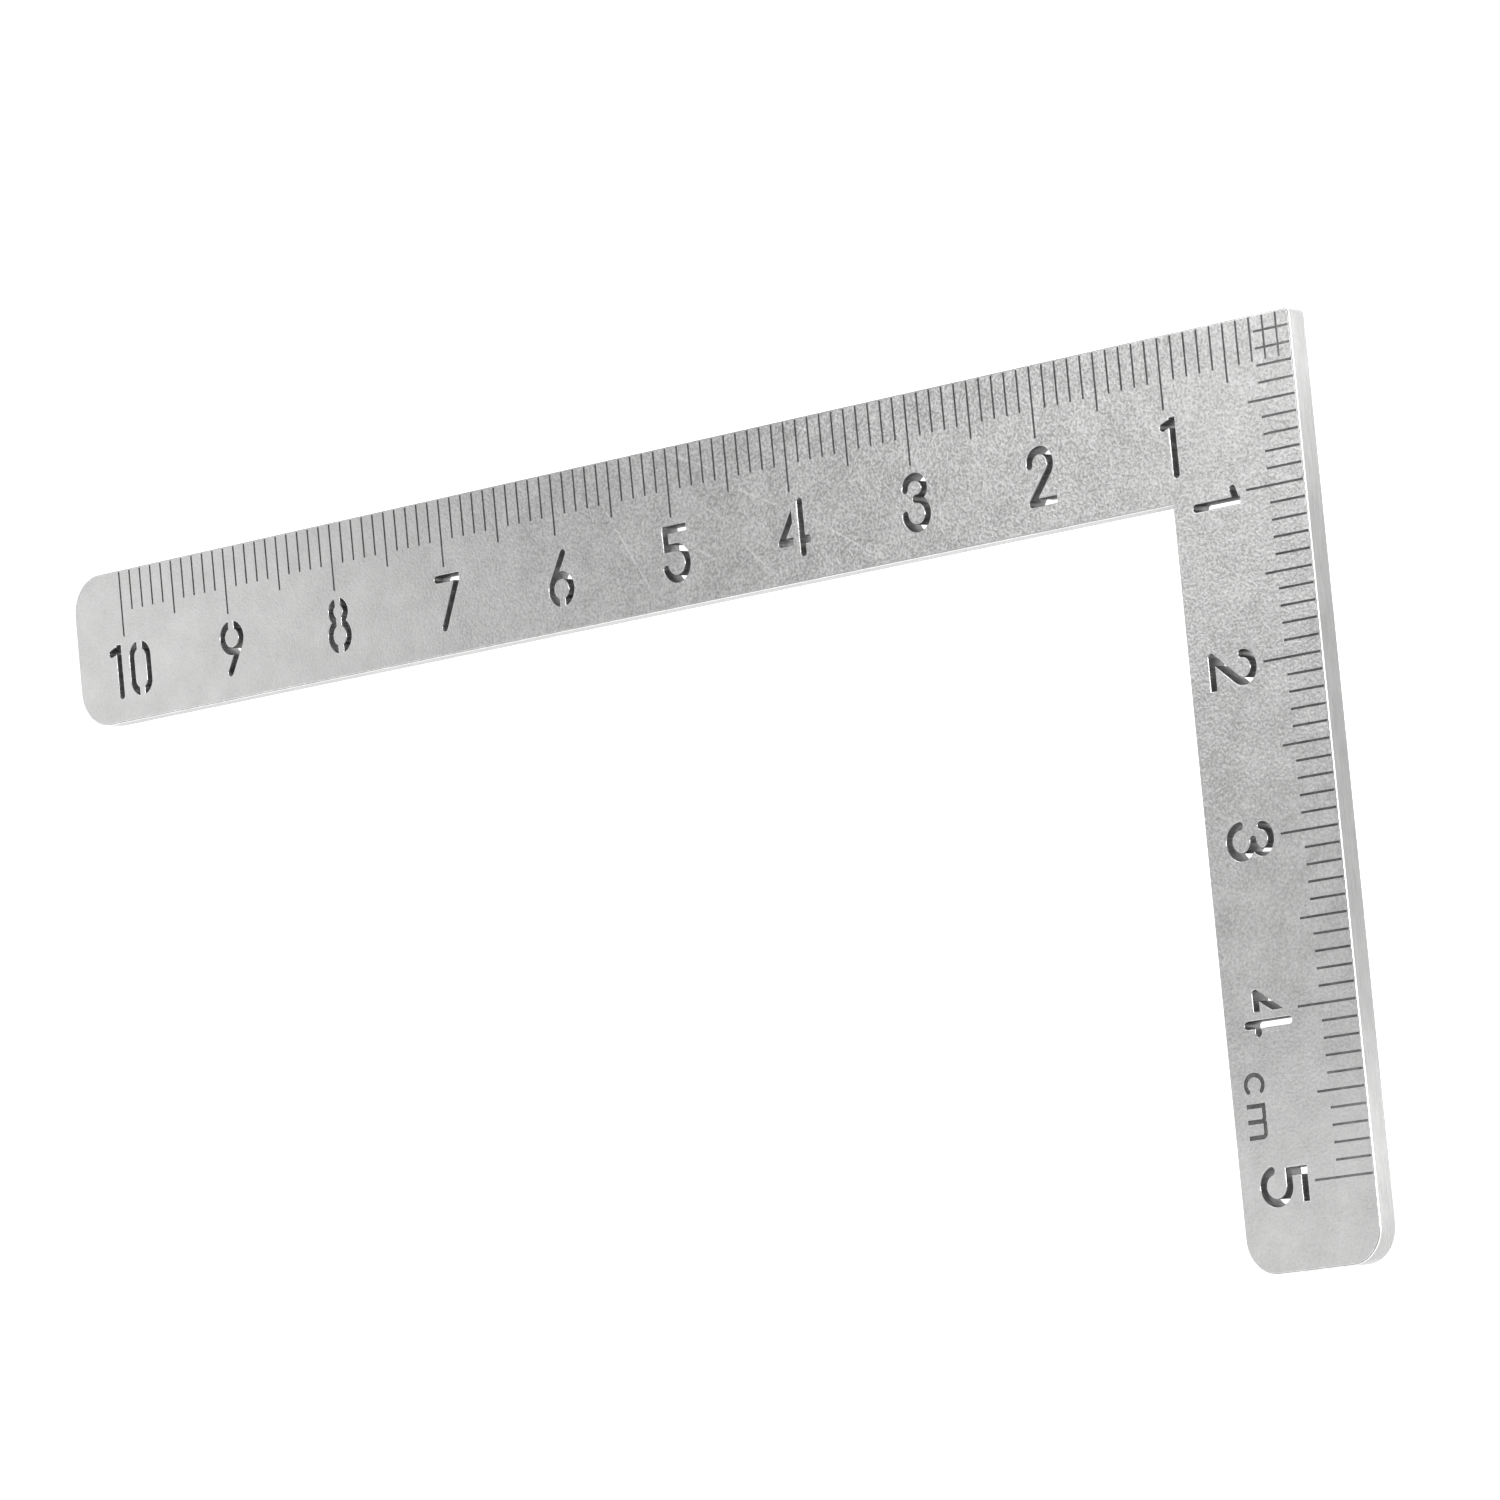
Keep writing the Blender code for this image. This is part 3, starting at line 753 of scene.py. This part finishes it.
class Nodes:
    """A material's node tree, filled in by short calls."""

    def __init__(self, name, colour, metallic, roughness):
        self.material = bpy.data.materials.new(name)
        self.material.use_nodes = True
        self.tree = self.material.node_tree
        self.shader = self.tree.nodes["Principled BSDF"]
        self.shader.inputs["Base Color"].default_value = (*colour, 1.0)
        self.shader.inputs["Metallic"].default_value = metallic
        self.shader.inputs["Roughness"].default_value = roughness
        self.place = self.tree.nodes.new("ShaderNodeTexCoord").outputs["Object"]

    def link(self, output, socket):
        """Leads a node's output to a socket."""
        self.tree.links.new(output, socket)

    def stretched(self, scale):
        """Object coordinates scaled differently along each axis, for a pattern that runs one way."""
        node = self.tree.nodes.new("ShaderNodeMapping")
        node.vector_type = "TEXTURE"
        node.inputs["Scale"].default_value = [1 / s for s in scale]
        self.link(self.place, node.inputs["Vector"])
        return node.outputs["Vector"]

    def noise(self, scale, detail=2.0, roughness=0.5, vector=None):
        """A noise of 0..1 with scale cells to the metre."""
        node = self.tree.nodes.new("ShaderNodeTexNoise")
        node.inputs["Scale"].default_value = scale
        node.inputs["Detail"].default_value = detail
        node.inputs["Roughness"].default_value = roughness
        self.link(vector or self.place, node.inputs["Vector"])
        return node.outputs["Fac"]

    def math(self, operation, a, b):
        """A Math node on two values, each a number or another node's output."""
        node = self.tree.nodes.new("ShaderNodeMath")
        node.operation = operation
        for value, socket in zip((a, b), node.inputs):
            if isinstance(value, (int, float)):
                socket.default_value = value
            else:
                self.link(value, socket)
        return node.outputs["Value"]

    def ranged(self, value, low, high, to_low, to_high):
        """value from low..high carried over to to_low..to_high, and held at the ends."""
        node = self.tree.nodes.new("ShaderNodeMapRange")
        node.inputs["From Min"].default_value = low
        node.inputs["From Max"].default_value = high
        node.inputs["To Min"].default_value = to_low
        node.inputs["To Max"].default_value = to_high
        self.link(value, node.inputs["Value"])
        return node.outputs["Result"]

    def spread(self, noise, to_low, to_high):
        """A noise's usual range carried over to to_low..to_high."""
        return self.ranged(noise, NOISE_LOW, NOISE_HIGH, to_low, to_high)

    def colour(self, value, low, high):
        """Gives the shader a colour between two greys, for value 0..1."""
        node = self.tree.nodes.new("ShaderNodeMix")
        node.data_type = "RGBA"
        node.inputs[MIX_A].default_value = (low, low, low * GREY_BLUE, 1.0)
        node.inputs[MIX_B].default_value = (high, high, high * GREY_BLUE, 1.0)
        self.link(value, node.inputs["Factor"])
        self.link(node.outputs[MIX_RESULT], self.shader.inputs["Base Color"])

    def roughness(self, value):
        """Gives the shader its roughness."""
        self.link(value, self.shader.inputs["Roughness"])

    def spot(self, place, length, width, turn=0.0):
        """1 at the middle of a long or round spot about place, fading evenly to 0 at its outline."""
        node = self.tree.nodes.new("ShaderNodeMapping")
        node.vector_type = "TEXTURE"
        node.inputs["Location"].default_value = (*place, 0)
        node.inputs["Rotation"].default_value = (0, 0, turn)
        node.inputs["Scale"].default_value = (length / 2, width / 2, 1)
        self.link(self.place, node.inputs["Vector"])
        fade = self.tree.nodes.new("ShaderNodeTexGradient")
        fade.gradient_type = "SPHERICAL"
        self.link(node.outputs["Vector"], fade.inputs["Vector"])
        return fade.outputs["Fac"]

    def bump(self, height, distance):
        """Gives the shader a relief, distance high where height is 1."""
        node = self.tree.nodes.new("ShaderNodeBump")
        node.inputs["Distance"].default_value = distance
        node.inputs["Strength"].default_value = 1.0
        self.link(height, node.inputs["Height"])
        self.link(node.outputs["Normal"], self.shader.inputs["Normal"])


def satin_steel():
    """Fine bead-blasted steel with faint mottling and a few hairline scratches."""
    nodes = Nodes("satin_steel_face", (0.6, 0.6, 0.597), 1.0, 0.4)
    grain = nodes.noise(GRAIN_SCALE, detail=2.0, roughness=0.6)
    mottle = nodes.noise(450, detail=4.0, roughness=0.6)
    scratches = 0.0
    for place, turn, length in HAIRLINES:
        line = nodes.spot(place, length, HAIRLINE_WIDTH, math.radians(turn))
        scratches = nodes.math("MAXIMUM", scratches, nodes.math("MULTIPLY", line, HAIRLINE_STRENGTH))
    near = nodes.spot(COARSEST_PLACE, 2 * COARSE_REACH, 2 * COARSE_REACH)
    coarse = nodes.ranged(near, 0.2, 0.8, 0.25, 1.0)
    relief = nodes.math("MULTIPLY", nodes.math("SUBTRACT", grain, 0.5), coarse)
    fine = nodes.ranged(relief, -0.12, 0.12, 0.0, 0.7)
    broad = nodes.spread(mottle, 0.0, 0.3)
    nodes.colour(nodes.math("ADD", nodes.math("ADD", fine, broad), scratches), 0.38, 0.78)
    dullness = nodes.math("ADD", nodes.spread(grain, 0.36, 0.44), nodes.spread(mottle, -0.02, 0.02))
    nodes.roughness(nodes.math("SUBTRACT", dullness, nodes.math("MULTIPLY", scratches, 0.12)))
    nodes.bump(nodes.math("SUBTRACT", relief, nodes.math("MULTIPLY", scratches, 0.1)), GRAIN_DEPTH)
    return nodes.material


def edge_steel():
    """Ground edges, with fine lines that run along them."""
    nodes = Nodes("ground_steel_edge", (0.30, 0.30, 0.298), 1.0, 0.3)
    lines = nodes.noise(1.0, detail=2.0, vector=nodes.stretched((400, 400, 14000)))
    mottle = nodes.noise(700, detail=3.0)
    tone = nodes.math("ADD", nodes.spread(lines, 0.0, 0.7), nodes.spread(mottle, 0.0, 0.3))
    nodes.colour(tone, 0.24, 0.33)
    nodes.roughness(nodes.spread(lines, 0.24, 0.36))
    nodes.bump(lines, 0.000004)
    return nodes.material


def rim_steel():
    """Rounded arrises and rims, rubbed bright."""
    nodes = Nodes("bright_steel_rim", (0.74, 0.74, 0.737), 1.0, 0.22)
    wear = nodes.noise(1800, detail=3.0)
    nodes.colour(nodes.spread(wear, 0.0, 1.0), 0.66, 0.82)
    nodes.roughness(nodes.spread(wear, 0.28, 0.18))
    nodes.bump(wear, 0.000004)
    return nodes.material


def cut_steel():
    """Walls of the cuts: dark grey as painted shade of the cuts, with striations across the thickness."""
    nodes = Nodes("cut_wall_painted_shade_material", (0.25, 0.25, 0.249), 1.0, 0.5)
    striations = nodes.noise(1.0, detail=2.0, vector=nodes.stretched((9000, 9000, 500)))
    mottle = nodes.noise(1500, detail=3.0)
    tone = nodes.math("MULTIPLY", nodes.spread(striations, 0.0, 1.0), nodes.spread(mottle, 0.0, 1.0))
    nodes.colour(tone, 0.22, 0.58)
    # A halved edge tint keeps the walls dark at grazing angles: painted shade too.
    nodes.shader.inputs["Specular Tint"].default_value = (0.5, 0.5, 0.5, 1.0)
    nodes.roughness(nodes.spread(striations, 0.42, 0.6))
    nodes.bump(striations, 0.00001)
    return nodes.material


def mark_enamel():
    """Matt dark filling, painted shade of the etched grooves, slightly grainy, worn to a lighter grey here
    and there.
    """
    nodes = Nodes("mark_fill_painted_shade_material", (0.06, 0.06, 0.06), 0.0, 0.6)
    grain = nodes.noise(12000, detail=2.0, roughness=0.6)
    wear = nodes.noise(1600, detail=3.0)
    tone = nodes.math("MULTIPLY", nodes.spread(grain, 0.3, 1.0), nodes.spread(wear, 0.2, 1.0))
    nodes.colour(tone, 0.04, 0.18)
    nodes.roughness(nodes.spread(grain, 0.5, 0.7))
    nodes.bump(grain, 0.000008)
    return nodes.material


def add_floor():
    """A plain white light table, which shows no shadow."""
    material = bpy.data.materials.new("pale_floor")
    material.use_nodes = True
    shader = material.node_tree.nodes["Principled BSDF"]
    shader.inputs["Base Color"].default_value = (FLOOR_GREY, FLOOR_GREY, FLOOR_GREY, 1.0)
    shader.inputs["Roughness"].default_value = 0.9
    shader.inputs["Emission Color"].default_value = (1.0, 1.0, 1.0, 1.0)
    shader.inputs["Emission Strength"].default_value = FLOOR_GLOW
    mesh = bpy.data.meshes.new("floor")
    half = FLOOR_SIZE / 2
    corners = [(-half, -half, 0), (half, -half, 0), (half, half, 0), (-half, half, 0)]
    mesh.from_pydata(corners, [], [(0, 1, 2, 3)])
    mesh.materials.append(material)
    floor = bpy.data.objects.new("floor", mesh)
    floor.location.z = FLOOR_HEIGHT
    bpy.context.scene.collection.objects.link(floor)


def aim(obj, target, roll=0.0):
    """Turns an object so that its -Z points at the target."""
    way = Vector(target) - obj.location
    facing = way.to_track_quat("-Z", "Y").to_matrix()
    obj.rotation_euler = (facing @ Matrix.Rotation(roll, 3, "Z")).to_euler()


def add_light(name, place, target, size, watts):
    """A square area light that the camera doesn't see, mirrored by the steel unless it is a table lamp."""
    light = bpy.data.lights.new(name, "AREA")
    light.shape = "SQUARE"
    light.size = size
    light.energy = watts
    obj = bpy.data.objects.new(name, light)
    obj.location = place
    aim(obj, target)
    obj.visible_camera = False
    obj.visible_glossy = name not in TABLE_LAMPS
    bpy.context.scene.collection.objects.link(obj)


def add_lights():
    """Soft boxes that the faces and rims mirror, the table lamps, and an even soft light from all round."""
    for name, place, target, size, watts in LIGHTS:
        add_light(name, place, target, size, watts)
    world = bpy.data.worlds.new("studio")
    world.use_nodes = True
    background = world.node_tree.nodes["Background"]
    background.inputs["Color"].default_value = (1.0, 1.0, 1.0, 1.0)
    background.inputs["Strength"].default_value = SKY_STRENGTH
    bpy.context.scene.world = world


def add_camera():
    """A long lens from the right of the short arm, turned so that the long arm runs left."""
    camera = bpy.data.cameras.new("camera")
    camera.lens = CAMERA_LENS
    camera.sensor_width = SENSOR_WIDTH
    camera.clip_start = NEAREST_SEEN
    obj = bpy.data.objects.new("camera", camera)
    obj.location = CAMERA_PLACE
    aim(obj, CAMERA_AIM, CAMERA_ROLL)
    bpy.context.scene.collection.objects.link(obj)
    bpy.context.scene.camera = obj


def main():
    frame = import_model()
    ruler = Ruler()
    bpy.context.scene.view_settings.view_transform = "Standard"
    # The dark mark filling is painted shade, standing in for the shade in the etched grooves.
    shade_fill = mark_enamel()
    for name, node in frame["nodes"].items():
        if name != "steel_plate":
            for slot in node.material_slots:
                slot.material = shade_fill
    build_plate(ruler, [satin_steel(), edge_steel(), cut_steel(), rim_steel()])
    build_millimetre_fillings(ruler, shade_fill)
    add_floor()
    add_lights()
    add_camera()


main()
